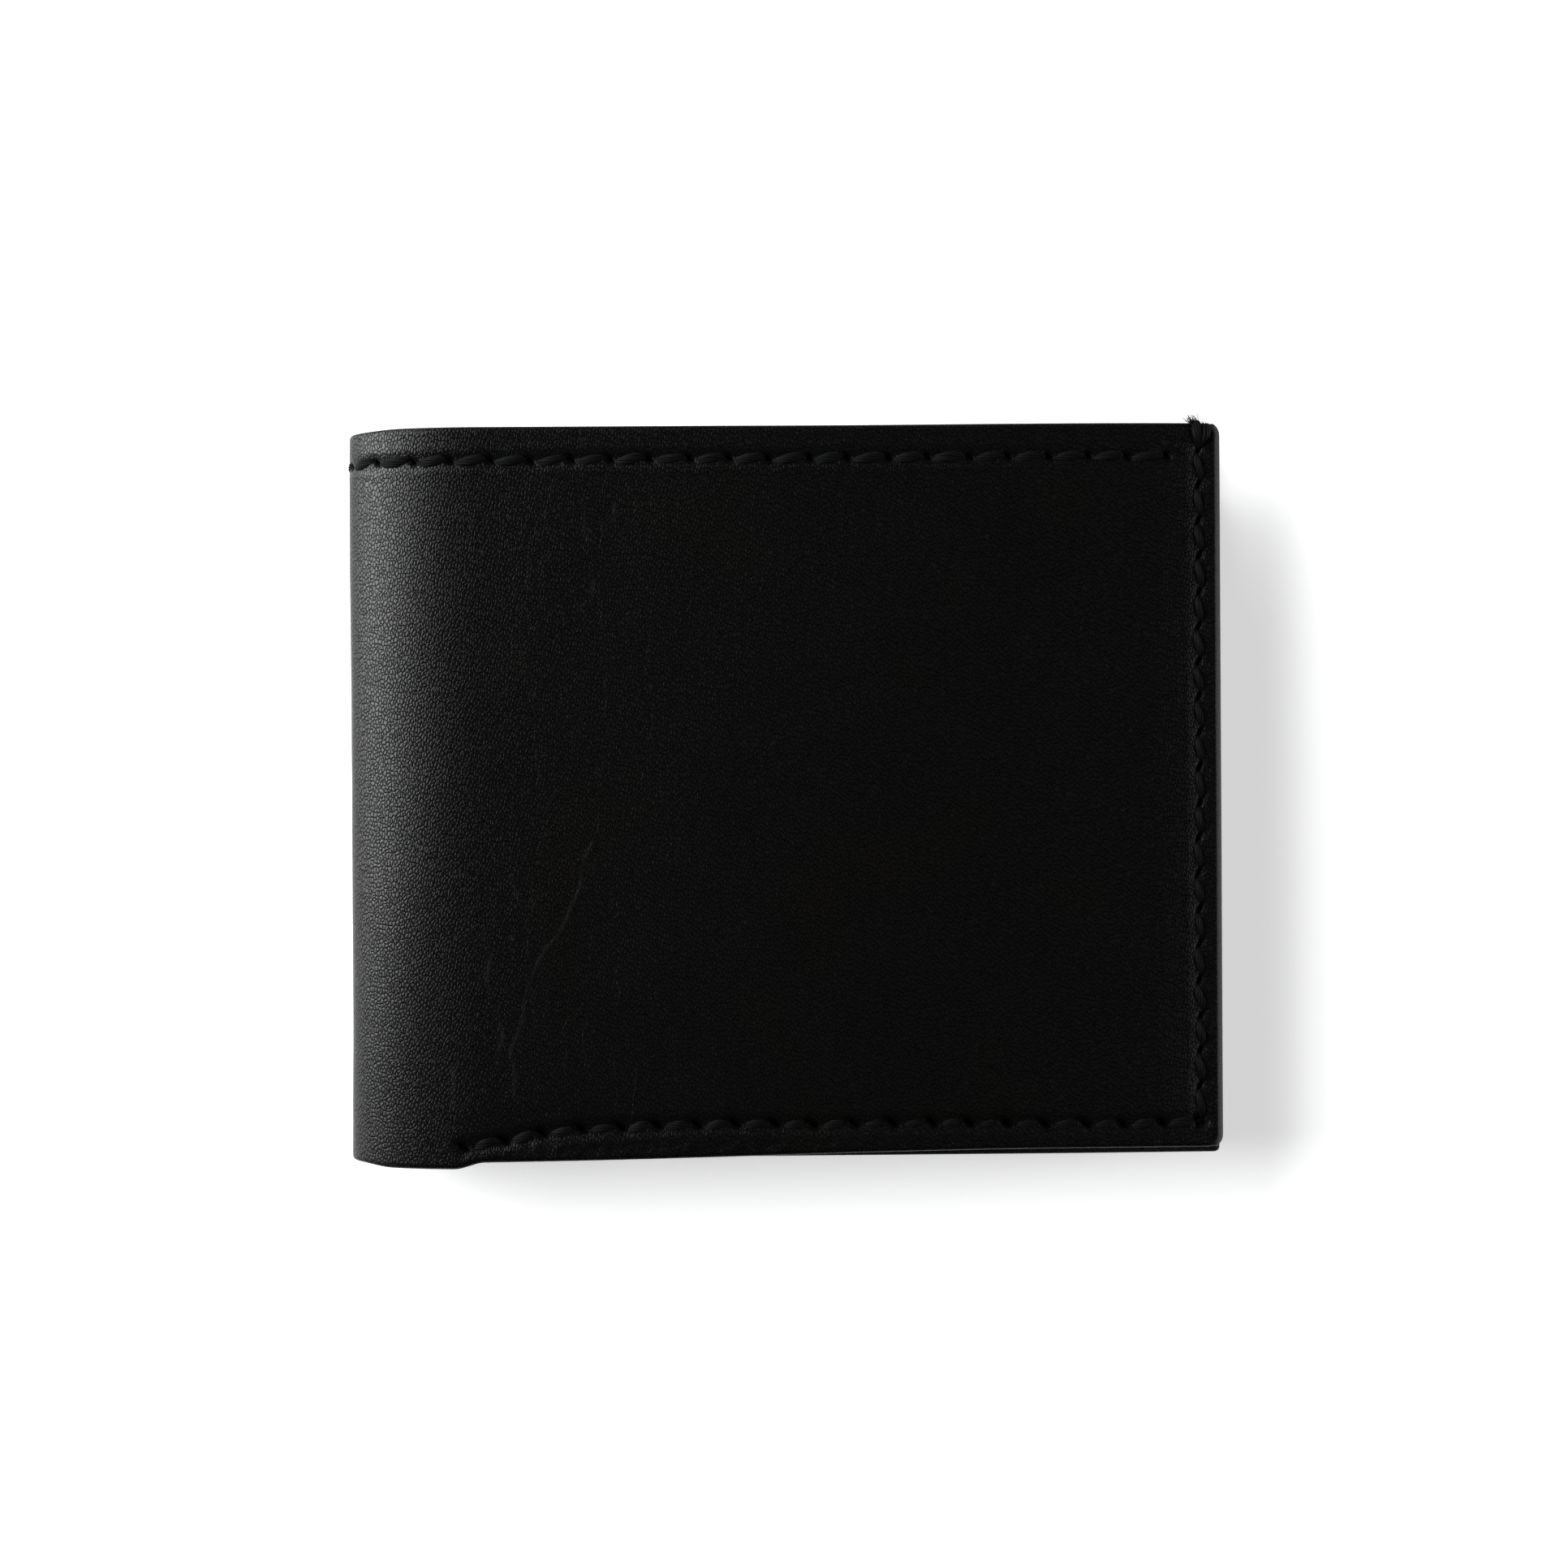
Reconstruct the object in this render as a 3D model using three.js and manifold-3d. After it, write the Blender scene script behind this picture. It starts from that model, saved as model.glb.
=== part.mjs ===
// A bifold wallet in black leather, closed, lying on its back cover.
// Millimetres. X runs from the fold (-X) to the free edge (+X), Y towards the mouth of the bill
// pocket, Z up. The origin is the middle of the footprint. Every layer is measured as an inset
// from the outer face of its own half, so both halves come from the same functions.
import * as THREE from 'three';
import { mergeVertices } from 'three/addons/utils/BufferGeometryUtils.js';
import Module from 'manifold-3d';

const wasm = await Module();
wasm.setup();

// Driving dimensions
const LENGTH = 110;
const WIDTH = 92;
const THICKNESS = 14;
const CLEARANCE = 0.3;
const NOSE_DEPTH = 12; // the fold is half an ellipse this deep and as tall as the wallet
const HINGE_ANGLE = 0.897; // where the two living hinges lie on that ellipse, from its flat end
const HINGE_GAP_ANGLE = 0.024;
const ARC_STEP = 0.16;
const CORNER_RADIUS = 1.6;

// Layers, as [outer inset, inner inset]
const SHELL = [0, 1.2];
const LINING = [1.5, 1.9];
const DIVIDER = [2.9, 3.5];
const POCKET_LAYERS = [[3.8, 4.3], [4.6, 5.1], [5.4, 6.0]];

// Card pockets
const DIVIDER_TOP = 40;
const POCKET_MOUTHS = [30, 18, 6];
const POCKET_STEP = 12;
const POCKET_DEPTH = 50;
const POCKET_INNER_X = -41;
const WING_WIDTH = 6.5;

// Stitching
const THREAD_WIDTH = 0.9;
const THREAD_HEIGHT = 0.5;
const LEG_WIDTH = 0.5;
const LEG_PITCH = 10;
const TOP_LINE_Y = 42;
const TOP_LINE_END = 48.5;
const SIDE_LINE_X = 52.5;
const BOTTOM_LINE_Y = -43.2;
const BOTTOM_LINE_START = -40.5;
const EDGE_LINE_X = POCKET_INNER_X + 2.2;
const BASE_LINE_RISE = 2;
const UNDER_DIVIDER = [2.2, 2.6];
const GROOVE_DEPTH = THREAD_HEIGHT + CLEARANCE;
const HOLE_WIDTH = LEG_WIDTH + 2 * CLEARANCE;
const SPINE_LEG_ANGLES = [1.15, Math.PI / 2, Math.PI - 1.15];

const FREE_X = LENGTH / 2;
const NOSE_X = NOSE_DEPTH - FREE_X;
const HALF_WIDTH = WIDTH / 2;
const BACK_ARC = [0, HINGE_ANGLE - HINGE_GAP_ANGLE];
const SPINE_ARC = [HINGE_ANGLE + HINGE_GAP_ANGLE, Math.PI - HINGE_ANGLE - HINGE_GAP_ANGLE];
const FRONT_ARC = [Math.PI - BACK_ARC[1], Math.PI];

const LEATHER = { color: 0x1a1a1a, roughness: 0.55, metalness: 0 };
const POCKET_LEATHER = { color: 0x1e1d1c, roughness: 0.6, metalness: 0 };
const LINING_CLOTH = { color: 0x202224, roughness: 0.85, metalness: 0 };
const THREAD = { color: 0x2b2f2b, roughness: 0.75, metalness: 0 };

// Solids
function solidOf(geometry) {
  const bare = geometry.clone();
  bare.deleteAttribute('normal');
  bare.deleteAttribute('uv');
  const merged = mergeVertices(bare, 1e-5);
  return new wasm.Manifold(new wasm.Mesh({
    numProp: 3,
    vertProperties: new Float32Array(merged.attributes.position.array),
    triVerts: new Uint32Array(merged.index.array),
  }));
}

function geometryOf(solid) {
  const mesh = solid.getMesh();
  const geometry = new THREE.BufferGeometry();
  geometry.setAttribute('position', new THREE.BufferAttribute(mesh.vertProperties, 3));
  geometry.setIndex(new THREE.BufferAttribute(mesh.triVerts, 1));
  geometry.computeVertexNormals();
  return geometry;
}

const joined = (solids) => solids.reduce((sum, solid) => sum.add(solid));
const cut = (solid, cutters) => cutters.reduce((left, cutter) => left.subtract(cutter), solid);

// Places: an inset is a height above the table on the back half, and mirrored on the front half
const heightOf = (half, inset) => (half === 'back' ? inset : THICKNESS - inset);

function block(half, [x0, x1], [y0, y1], [inset0, inset1]) {
  const geometry = new THREE.BoxGeometry(x1 - x0, y1 - y0, inset1 - inset0);
  geometry.translate((x0 + x1) / 2, (y0 + y1) / 2, heightOf(half, (inset0 + inset1) / 2));
  return solidOf(geometry);
}

function plate(half, outline, [inset0, inset1]) {
  const geometry = new THREE.ExtrudeGeometry(outline, {
    depth: inset1 - inset0,
    bevelEnabled: false,
    curveSegments: 4,
  });
  geometry.translate(0, 0, Math.min(heightOf(half, inset0), heightOf(half, inset1)));
  return solidOf(geometry);
}

// The fold: a point of the ellipse at an inset, its angle running from the back to the front cover
function nosePoint(inset, angle) {
  return new THREE.Vector2(
    NOSE_X - (NOSE_DEPTH - inset) * Math.sin(angle),
    THICKNESS / 2 - (THICKNESS / 2 - inset) * Math.cos(angle),
  );
}

function noseArc(inset, from, to) {
  const steps = 2 * Math.ceil(Math.abs(to - from) / (2 * ARC_STEP));
  const angleOf = (i) => from + ((to - from) * i) / steps;
  return Array.from({ length: steps + 1 }, (_, i) => nosePoint(inset, angleOf(i)));
}

// A strip between two insets that follows the fold from one angle to another. Where it starts at
// the back cover or ends at the front cover it runs on flat to x = reach.
function strip([inset0, inset1], [from, to], [y0, y1], reach) {
  const outline = noseArc(inset0, from, to);
  if (to === Math.PI) {
    outline.push(...[inset0, inset1].map((inset) => new THREE.Vector2(reach, THICKNESS - inset)));
  }
  outline.push(...noseArc(inset1, to, from));
  if (from === 0) {
    outline.push(new THREE.Vector2(reach, inset1), new THREE.Vector2(reach, inset0));
  }
  const geometry = new THREE.ExtrudeGeometry(new THREE.Shape(outline), {
    depth: y1 - y0,
    bevelEnabled: false,
  });
  geometry.rotateX(Math.PI / 2);
  geometry.translate(0, y1, 0);
  return solidOf(geometry);
}

function around(centre, width) {
  return [centre - width / 2, centre + width / 2];
}

function roundedFreeEnd(innerX) {
  const r = CORNER_RADIUS;
  const shape = new THREE.Shape();
  shape.moveTo(innerX, -HALF_WIDTH);
  shape.lineTo(FREE_X - r, -HALF_WIDTH);
  shape.absarc(FREE_X - r, r - HALF_WIDTH, r, -Math.PI / 2, 0);
  shape.lineTo(FREE_X, HALF_WIDTH - r);
  shape.absarc(FREE_X - r, HALF_WIDTH - r, r, 0, Math.PI / 2);
  shape.lineTo(innerX, HALF_WIDTH);
  return shape;
}

// Stitching. A thread is one body: a run on the outer face, legs through the holes and a run on
// the inner face. Each leg needs a hole in the layers that it goes through.
const arcOf = { back: BACK_ARC, spine: SPINE_ARC, front: FRONT_ARC };

function legPlaces(from, to) {
  const count = Math.floor((to - from) / LEG_PITCH) + 1;
  return Array.from({ length: count }, (_, i) => from + i * LEG_PITCH);
}

const topLegs = legPlaces(-33.5, TOP_LINE_END - 1);
const sideLegs = legPlaces(BOTTOM_LINE_Y + 5, HALF_WIDTH - 2);
const bottomLegs = [...legPlaces(BOTTOM_LINE_START + 3, SIDE_LINE_X - 5), SIDE_LINE_X];

// The inner face that a line of stitches meets steps down at each pocket mouth
function innerSteps() {
  const levels = [LINING[1], DIVIDER[1], ...POCKET_LAYERS.map((layer) => layer[1])];
  const edges = [HALF_WIDTH - 1.5, DIVIDER_TOP, ...POCKET_MOUTHS, BOTTOM_LINE_Y - THREAD_WIDTH / 2];
  return levels.map((level, i) => ({
    inset: [level + CLEARANCE, level + CLEARANCE + THREAD_HEIGHT],
    span: [edges[i + 1] + (i < levels.length - 1 ? CLEARANCE : 0), edges[i] - CLEARANCE],
  }));
}

function leg(half, x, y, width, insets) {
  return block(half, around(x, width), around(y, width), insets);
}

function topThread(section) {
  const arc = arcOf[section];
  const y = around(TOP_LINE_Y, THREAD_WIDTH);
  const innerRun = [LINING[1] + CLEARANCE, LINING[1] + CLEARANCE + THREAD_HEIGHT];
  const runs = [[0, THREAD_HEIGHT], innerRun].map((insets) => strip(insets, arc, y, TOP_LINE_END));
  const insets = [0.1, innerRun[1] - 0.1];
  const legs = section === 'spine'
    ? SPINE_LEG_ANGLES.map((angle) => strip(insets, around(angle, 0.06), around(TOP_LINE_Y, LEG_WIDTH)))
    : topLegs.map((x) => leg(section, x, TOP_LINE_Y, LEG_WIDTH, insets));
  return joined([...runs, ...legs]);
}

function topHoles(section) {
  const grooveY = around(TOP_LINE_Y, THREAD_WIDTH + 2 * CLEARANCE);
  const groove = strip([-1, GROOVE_DEPTH], arcOf[section], grooveY, TOP_LINE_END + CLEARANCE);
  const legs = section === 'spine'
    ? SPINE_LEG_ANGLES.map((angle) => strip([-0.5, 3], around(angle, 0.14), around(TOP_LINE_Y, HOLE_WIDTH)))
    : topLegs.map((x) => leg(section, x, TOP_LINE_Y, HOLE_WIDTH, [-0.5, 3]));
  return [groove, ...legs];
}

function seamRuns(half, insets, width, grow) {
  return [
    block(half, around(SIDE_LINE_X, width), [BOTTOM_LINE_Y - width / 2, HALF_WIDTH - 1.5 + grow], insets),
    block(half, [BOTTOM_LINE_START - grow, SIDE_LINE_X], around(BOTTOM_LINE_Y, width), insets),
  ];
}

function seamLegs(half, width, topOf, bottomInset) {
  const side = sideLegs.map((y) => leg(half, SIDE_LINE_X, y, width, [bottomInset, topOf(y)]));
  const bottom = bottomLegs.map((x) => leg(half, x, BOTTOM_LINE_Y, width, [bottomInset, topOf(BOTTOM_LINE_Y)]));
  return [...side, ...bottom];
}

function stepTopAt(y) {
  return innerSteps().find(({ span }) => y >= span[0] - CLEARANCE && y <= span[1] + CLEARANCE).inset[1] - 0.1;
}

function seamThread(half) {
  const steps = innerSteps();
  const innerBottom = block(
    half, [BOTTOM_LINE_START, SIDE_LINE_X], around(BOTTOM_LINE_Y, THREAD_WIDTH), steps.at(-1).inset,
  );
  const innerSide = steps.map(({ inset, span }) => block(half, around(SIDE_LINE_X, THREAD_WIDTH), span, inset));
  return joined([
    ...seamRuns(half, [0, THREAD_HEIGHT], THREAD_WIDTH, 0),
    innerBottom,
    ...innerSide,
    ...seamLegs(half, LEG_WIDTH, stepTopAt, 0.1),
  ]);
}

function seamHoles(half) {
  return [
    ...seamRuns(half, [-1, GROOVE_DEPTH], THREAD_WIDTH + 2 * CLEARANCE, CLEARANCE),
    ...seamLegs(half, HOLE_WIDTH, () => THICKNESS / 2, -0.5),
  ];
}

// The spine-side edge of the card pockets is stitched to the divider alone
const edgeSteps = innerSteps().slice(2);
const edgeLegs = sideLegs.filter((y) => y < POCKET_MOUTHS[0]);

function edgeThread(half) {
  const span = [BOTTOM_LINE_Y + 3, POCKET_MOUTHS[0] - 1.5];
  const steps = edgeSteps.map(({ inset, span: [low, high] }) => block(
    half, around(EDGE_LINE_X, THREAD_WIDTH), [Math.max(low, span[0]), Math.min(high, span[1])], inset,
  ));
  return joined([
    block(half, around(EDGE_LINE_X, THREAD_WIDTH), span, UNDER_DIVIDER),
    ...steps,
    ...edgeLegs.map((y) => leg(half, EDGE_LINE_X, y, LEG_WIDTH, [UNDER_DIVIDER[0] + 0.1, stepTopAt(y)])),
  ]);
}

function edgeHoles(half) {
  return edgeLegs.map((y) => leg(half, EDGE_LINE_X, y, HOLE_WIDTH, [LINING[1], THICKNESS / 2]));
}

// The foot of each T-shaped pocket is stitched to the divider
const baseLegs = legPlaces(-35, 45);
const baseLineY = (row) => POCKET_MOUTHS[row] - POCKET_DEPTH + BASE_LINE_RISE;

function baseThread(half, row) {
  const top = POCKET_LAYERS[row][1];
  return joined([
    block(half, [baseLegs[0] - 1, baseLegs.at(-1) + 1], around(baseLineY(row), THREAD_WIDTH), UNDER_DIVIDER),
    ...baseLegs.map((x) => leg(half, x, baseLineY(row), LEG_WIDTH, [UNDER_DIVIDER[0] + 0.1, top])),
  ]);
}

function baseHoles(half, row) {
  const insets = [LINING[1], POCKET_LAYERS[row][1] + 0.1];
  return baseLegs.map((x) => leg(half, x, baseLineY(row), HOLE_WIDTH, insets));
}

// Leather and lining
function wrap(section, insets, [y0, y1]) {
  const whole = strip(insets, arcOf[section], [y0, y1], FREE_X);
  if (section === 'spine') {
    return whole;
  }
  return whole.intersect(plate('back', roundedFreeEnd(-FREE_X - 1), [-1, THICKNESS + 1]));
}

function shell(section) {
  const holes = section === 'spine' ? [] : seamHoles(section);
  return cut(wrap(section, SHELL, [-HALF_WIDTH, HALF_WIDTH]), [...topHoles(section), ...holes]);
}

function lining(section) {
  const holes = section === 'spine' ? [] : seamHoles(section);
  return cut(wrap(section, LINING, [-HALF_WIDTH, HALF_WIDTH - 0.8]), [...topHoles(section), ...holes]);
}

function divider(section) {
  const whole = wrap(section, DIVIDER, [-HALF_WIDTH, DIVIDER_TOP]);
  if (section === 'spine') {
    return whole;
  }
  return cut(whole, [
    ...seamHoles(section), ...edgeHoles(section), ...baseHoles(section, 0), ...baseHoles(section, 1),
  ]);
}

function teePocket(half, row) {
  const mouth = POCKET_MOUTHS[row];
  const wingFoot = mouth - POCKET_STEP - 3;
  const foot = mouth - POCKET_DEPTH;
  const shape = new THREE.Shape([
    new THREE.Vector2(POCKET_INNER_X, mouth),
    new THREE.Vector2(POCKET_INNER_X, wingFoot),
    new THREE.Vector2(POCKET_INNER_X + WING_WIDTH - 3, wingFoot - 2),
    new THREE.Vector2(POCKET_INNER_X + WING_WIDTH - 3, foot),
    new THREE.Vector2(FREE_X - WING_WIDTH, foot),
    new THREE.Vector2(FREE_X - WING_WIDTH, wingFoot - 2),
    new THREE.Vector2(FREE_X, wingFoot),
    new THREE.Vector2(FREE_X, mouth),
  ]);
  const holes = [...seamHoles(half), ...edgeHoles(half), ...baseHoles(half, row)];
  return cut(plate(half, shape, POCKET_LAYERS[row]), holes);
}

function frontPanel(half) {
  const mouth = POCKET_MOUTHS.at(-1);
  const reach = block(half, [POCKET_INNER_X, FREE_X], [-HALF_WIDTH, mouth], POCKET_LAYERS.at(-1));
  const rounded = reach.intersect(plate('back', roundedFreeEnd(POCKET_INNER_X), [-1, THICKNESS + 1]));
  return cut(rounded, [...seamHoles(half), ...edgeHoles(half)]);
}

// Assembly
const wallet = new THREE.Group();

function add(parent, name, solid, look) {
  const mesh = new THREE.Mesh(geometryOf(solid), new THREE.MeshStandardMaterial(look));
  mesh.name = name;
  parent.add(mesh);
}

function addWraps(parent, section, suffix) {
  add(parent, `shell_${suffix}`, shell(section), LEATHER);
  add(parent, `lining_${suffix}`, lining(section), LINING_CLOTH);
  add(parent, `bill_divider_${suffix}`, divider(section), POCKET_LEATHER);
  add(parent, `top_edge_thread_${suffix}`, topThread(section), THREAD);
}

for (const half of ['back', 'front']) {
  const group = new THREE.Group();
  addWraps(group, half, half);
  ['upper', 'middle'].forEach((place, row) => {
    add(group, `${place}_card_pocket_${half}`, teePocket(half, row), POCKET_LEATHER);
    add(group, `${place}_pocket_base_thread_${half}`, baseThread(half, row), THREAD);
  });
  add(group, `lower_card_pocket_${half}`, frontPanel(half), POCKET_LEATHER);
  add(group, `pocket_edge_thread_${half}`, edgeThread(half), THREAD);
  add(group, `seam_thread_${half}`, seamThread(half), THREAD);
  wallet.add(group);
}

const spine = new THREE.Group();
addWraps(spine, 'spine', 'spine');
wallet.add(spine);

export default wallet;
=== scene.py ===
"""Blender scene of the bifold wallet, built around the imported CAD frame.

Lengths are in millimetres until a mesh is made, and metres from there on. The section of the
wallet is written once, for the front half: fold() gives a point at a distance t from the tip of
the fold, at an inset from the outer face. The back half is its mirror image.
"""
import math

import bmesh
import bpy
import numpy as np
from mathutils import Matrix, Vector


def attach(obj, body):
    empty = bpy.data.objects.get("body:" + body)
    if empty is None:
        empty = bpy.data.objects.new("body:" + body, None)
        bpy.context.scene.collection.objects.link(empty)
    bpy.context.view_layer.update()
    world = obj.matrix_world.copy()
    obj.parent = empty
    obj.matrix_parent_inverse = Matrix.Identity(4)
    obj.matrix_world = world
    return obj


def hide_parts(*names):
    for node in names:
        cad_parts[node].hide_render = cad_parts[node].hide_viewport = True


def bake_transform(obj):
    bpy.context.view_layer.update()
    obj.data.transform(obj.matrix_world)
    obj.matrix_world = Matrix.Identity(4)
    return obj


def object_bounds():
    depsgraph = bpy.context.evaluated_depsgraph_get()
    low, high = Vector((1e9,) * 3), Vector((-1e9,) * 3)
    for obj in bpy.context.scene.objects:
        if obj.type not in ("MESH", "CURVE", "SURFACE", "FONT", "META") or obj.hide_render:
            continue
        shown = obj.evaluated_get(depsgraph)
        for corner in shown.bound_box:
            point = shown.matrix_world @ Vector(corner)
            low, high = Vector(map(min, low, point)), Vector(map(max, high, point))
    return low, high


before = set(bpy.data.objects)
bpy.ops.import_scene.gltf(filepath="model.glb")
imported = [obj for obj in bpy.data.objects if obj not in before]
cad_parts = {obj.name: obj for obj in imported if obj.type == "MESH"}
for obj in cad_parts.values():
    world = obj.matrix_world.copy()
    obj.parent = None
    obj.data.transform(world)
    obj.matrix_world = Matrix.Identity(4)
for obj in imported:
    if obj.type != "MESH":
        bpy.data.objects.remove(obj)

cad_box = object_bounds()
MM = 0.001
RNG = np.random.default_rng(7)

# ---------------------------------------------------------------- sizes, from the frame
TIP_X, FREE_X = cad_box[0].x / MM, cad_box[1].x / MM
HALF_WIDTH = cad_box[1].y / MM
THICKNESS = cad_box[1].z / MM
MID_Z = THICKNESS / 2

NOSE_DEPTH = 17.0
NOSE_X = TIP_X + NOSE_DEPTH
CROWN = {"front": 2.0, "back": 0.0}  # how far the cover falls towards its free edge
CROWN_START = -15.0
CORNER_RADIUS = 0.9

# Layers of one half: inset of the outer face in the middle and at the sewn edge, and thickness
LAYERS = {
    "shell": (0.0, 0.0, 1.2),
    "lining": (1.45, 1.22, 0.4),
    "divider": (2.7, 1.68, 0.7),
    "upper": (3.65, 2.42, 0.55),
    "middle": (4.45, 3.02, 0.55),
    "lower": (5.2, 3.62, 0.75),
}
SEAM_REACH = 11.0

DIVIDER_TOP = 40.0
POCKET_MOUTHS = {"upper": 30.0, "middle": 18.0, "lower": 6.0}
POCKET_DEPTH = 50.0
POCKET_INNER_X = -41.0
WING_HEIGHT = 15.0
POCKET_GRID = 2.4

STITCH_PITCH = {"top": 4.98, "side": 4.43, "bottom": 4.83, "inner": 4.9}
TOP_LINE_Y = (41.65, 42.05)  # at the tip of the fold, and at the last hole
TOP_LINE_END = 48.2
SIDE_LINE_X = 52.05
CORNER_HOLE_Y = -41.3
BOTTOM_LINE_START = -40.2
EDGE_LINE_X = POCKET_INNER_X + 2.2


def smooth(low, high, value):
    """0 below low and 1 above high, with a smooth step between them."""
    t = np.clip((value - low) / (high - low), 0, 1)
    return t * t * (3 - 2 * t)


# ---------------------------------------------------------------- the folded section
NOSE_ANGLES = np.linspace(0, math.pi / 2, 600)
NOSE_LENGTHS = np.concatenate([[0], np.cumsum(np.hypot(
    np.diff(NOSE_DEPTH * np.cos(NOSE_ANGLES)), np.diff(MID_Z * np.sin(NOSE_ANGLES)),
))])
NOSE_LENGTH = NOSE_LENGTHS[-1]


def t_of_x(x):
    """Distance from the tip for a point of the flat part."""
    return NOSE_LENGTH + x - NOSE_X


def fold(half, t, inset):
    """x, z, and the outward normal's x and z, at distance t from the tip of the fold."""
    psi = np.interp(t, NOSE_LENGTHS, NOSE_ANGLES)
    x = NOSE_X - (NOSE_DEPTH - inset) * np.cos(psi) + np.maximum(t - NOSE_LENGTH, 0)
    fall = np.clip((x - CROWN_START) / (FREE_X - CROWN_START), 0, 1)
    z = MID_Z + (MID_Z - inset) * np.sin(psi) - CROWN[half] * fall ** 2
    slope = 2 * CROWN[half] * fall / (FREE_X - CROWN_START)
    nx = -np.cos(psi) / (NOSE_DEPTH - inset) + slope * np.sin(psi) / (MID_Z - inset)
    nz = np.sin(psi) / (MID_Z - inset)
    size = np.hypot(nx, nz)
    nx, nz = nx / size, nz / size
    if half == "back":
        return x, THICKNESS - z, nx, -nz
    return x, z, nx, nz


def low_edge(half, x):
    """Bottom edge of the shell: it hangs lower at the fold, where no seam draws it in."""
    if half == "back":
        return -HALF_WIDTH + 0.5 * smooth(-40, 30, x)
    hang = 0.8 * (1 - smooth(-41.5, -37.5, x))
    round_in = 0.45 * (1 - smooth(-54.5, -49.5, x))
    return -HALF_WIDTH + 0.12 + 1.3 * smooth(-44, 34, x) - hang + round_in


def high_edge(half, x):
    """Top edge of the shell, a little lower at the tip of the fold."""
    end = 0.2 * (1 - smooth(-54.5, -48, x)) - 0.28 * smooth(0, 50, x)
    return HALF_WIDTH - 0.05 - end - (0.25 if half == "back" else 0)


def waves(u, v, seed, length, count=9):
    """Gentle random relief with about one unit of height and the given wavelength."""
    rng = np.random.default_rng(seed)
    total = np.zeros_like(u)
    for _ in range(count):
        angle = rng.uniform(0, 2 * math.pi)
        k = 2 * math.pi / (length * rng.uniform(0.7, 1.5))
        total += np.sin(k * (u * math.cos(angle) + v * math.sin(angle)) + rng.uniform(0, 2 * math.pi))
    return total / math.sqrt(count)


# ---------------------------------------------------------------- stitch holes
def hole_line(start, end, pitch, seed, wander=0.12):
    """Holes from start to end, evenly pricked apart from a hand's small errors."""
    start, end = np.array(start, float), np.array(end, float)
    count = max(1, round(np.linalg.norm(end - start) / pitch))
    rng = np.random.default_rng(seed)
    holes = start + (end - start) * np.linspace(0, 1, count + 1)[:, None]
    holes[1:-1] += rng.normal(0, wander, (count - 1, 2)) * (1.0, 0.6) if count > 1 else 0
    return holes


def lines_of(half):
    """Stitch lines in the leather's own coordinates: t from the tip of the fold, and y."""
    seed = 11 if half == "front" else 23
    top_t = t_of_x(TOP_LINE_END)
    tip_t = top_t % STITCH_PITCH["top"]
    corner = (t_of_x(SIDE_LINE_X), CORNER_HOLE_Y)
    side_top = (t_of_x(SIDE_LINE_X) + 0.2, HALF_WIDTH - 3.0)
    bottom_t = t_of_x(BOTTOM_LINE_START)
    bottom = hole_line((bottom_t, 0), (corner[0], 0), STITCH_PITCH["bottom"], seed + 2, 0.14)
    from_start = bottom[:, 0] - bottom_t
    bottom[:, 1] += CORNER_HOLE_Y - 2.6 * np.exp(-from_start / 11) + 0.25 * np.sin(from_start / 18)
    bottom[-1] = corner
    return {
        "top": hole_line((tip_t, TOP_LINE_Y[0]), (top_t, TOP_LINE_Y[1]), STITCH_PITCH["top"], seed),
        "side": hole_line(corner, side_top, STITCH_PITCH["side"], seed + 1, 0.1),
        "bottom": bottom,
    }


LINES = {half: lines_of(half) for half in ("front", "back")}

# How each stitch line marks the shell: depth and width of its furrow, the half-length,
# half-width and direction of the slit at each hole, and how far a stitch stops from its holes.
FURROWS = {
    "top": (0.24, 0.8, 0.55, 0.30, -0.75, 0.05),
    "side": (0.20, 1.3, 0.75, 0.26, 1.15, 0.07),
    "bottom": (0.28, 1.1, 0.80, 0.36, -0.6, 0.13),
}


# Creases that use has left in the front cover beside the fold, as x and y along each.
CREASES = (
    ((-24.2, -6.0), (-26.7, -14.4), (-29.9, -19.5), (-32.2, -25.3), (-34.1, -31.8), (-33.5, -38.5)),
    ((-37.3, -16.9), (-37.0, -23.4), (-35.4, -29.9), (-35.7, -33.8)),
    ((-25.1, 36.7), (-24.3, 31.6)),
    ((-21.2, 36.1), (-21.2, 33.8)),
    ((-40.9, -33.7), (-41.4, -39.2)),
)
CREASE_WIDTH = 0.17


def near_line(holes, t, y):
    """Distance to a line of points, such as stitch holes, at every point."""
    along = np.full(t.shape, 1e9)
    for (t0, y0), (t1, y1) in zip(holes[:-1], holes[1:]):
        dt, dy = t1 - t0, y1 - y0
        k = np.clip(((t - t0) * dt + (y - y0) * dy) / (dt * dt + dy * dy), 0, 1)
        along = np.minimum(along, np.hypot(t - t0 - k * dt, y - y0 - k * dy))
    return along


def near_slits(holes, t, y, length, width, direction):
    """Distance to the nearest slit centre, once plain and once in units of the slit's size."""
    plain, scaled = np.full(t.shape, 1e9), np.full(t.shape, 1e9)
    c, s = math.cos(direction), math.sin(direction)
    for t0, y0 in holes:
        dt, dy = t - t0, y - y0
        plain = np.minimum(plain, np.hypot(dt, dy))
        scaled = np.minimum(scaled, np.hypot((dt * c + dy * s) / length, (dy * c - dt * s) / width))
    return plain, scaled


def crease_marks(half, t, y):
    """How deep in a crease of the front cover each point is, from 0 to 1."""
    marks = np.zeros_like(t)
    bent = t + 0.3 * waves(t, y, 6, 7)
    for line in CREASES if half == "front" else ():
        away = near_line([(t_of_x(px), py) for px, py in line], bent, y)
        marks = np.maximum(marks, np.exp(-((away / CREASE_WIDTH) ** 2)))
    return marks * np.clip(0.7 + 0.5 * waves(t, y, 8, 5), 0.1, 1)


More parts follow.
